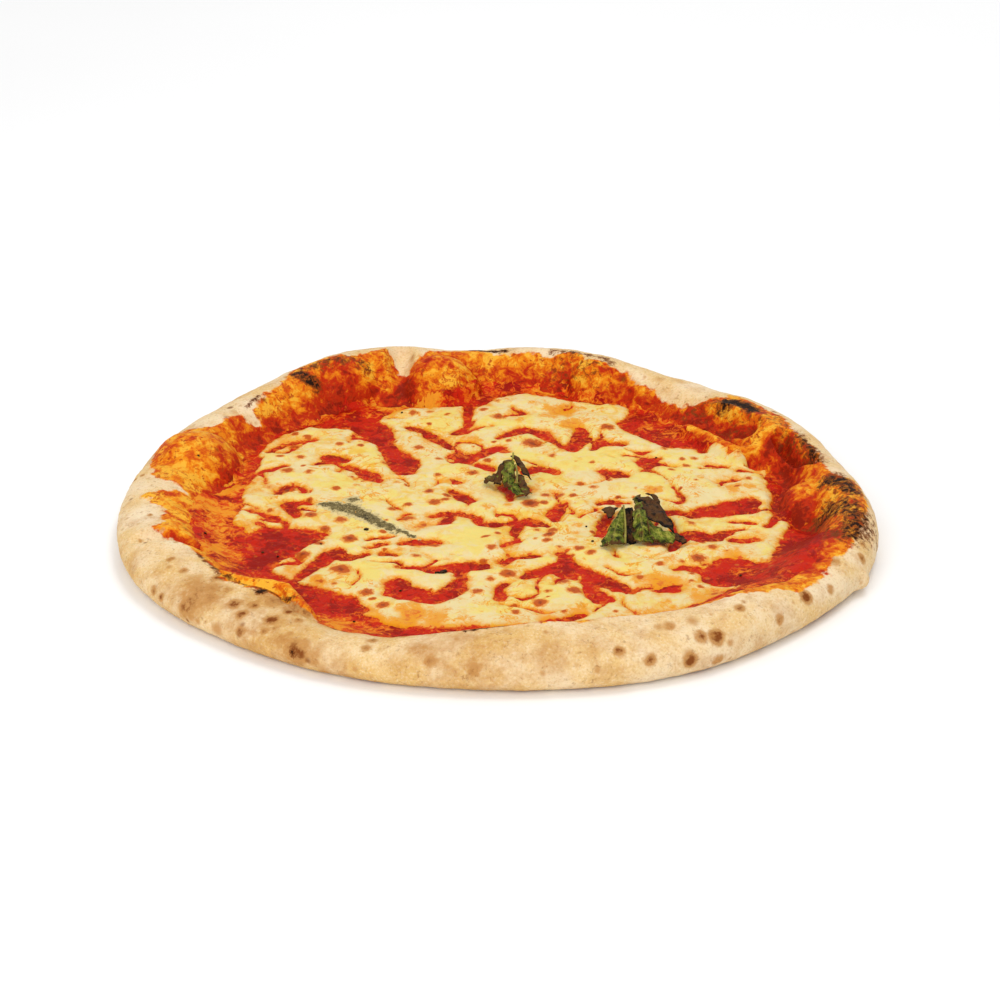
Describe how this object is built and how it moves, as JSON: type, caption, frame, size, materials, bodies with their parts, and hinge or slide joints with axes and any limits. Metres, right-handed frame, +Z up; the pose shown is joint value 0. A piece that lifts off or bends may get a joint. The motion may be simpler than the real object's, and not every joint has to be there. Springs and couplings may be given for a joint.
{
  "type": "margherita pizza",
  "caption": "Whole round baked pizza with a puffed, unevenly browned rim, tomato sauce, melted mozzarella and small basil leaves, lying flat.",
  "frame": {"origin": "on the surface it lies on, under the middle of the pizza", "axes": "+Z up through the toppings; -Y towards the viewer's side, where the plain pale stretch of the rim is; +X to the right"},
  "size_m": [0.2974, 0.295, 0.0221],
  "materials": {
    "crust": "baked dough, floury and matte, pale with brown and black toasted spots",
    "tomato_sauce": "cooked tomato sauce, wet and oily, red with darker and orange edges",
    "mozzarella": "melted mozzarella, cream yellow and softly glossy, with orange-brown blisters",
    "basil": "baked basil leaf, dark green with brown-black burnt edges",
    "basil_sunken": "basil leaf sunk in the cheese, dull grey-olive and oily"
  },
  "bodies": {
    "root": {"crust": "crust", "tomato_sauce": "tomato_sauce", "mozzarella": "mozzarella", "basil_leaf_wilted": "basil", "basil_leaf_curled": "basil", "basil_leaf_sunken": "basil_sunken"}
  },
  "joints": []
}
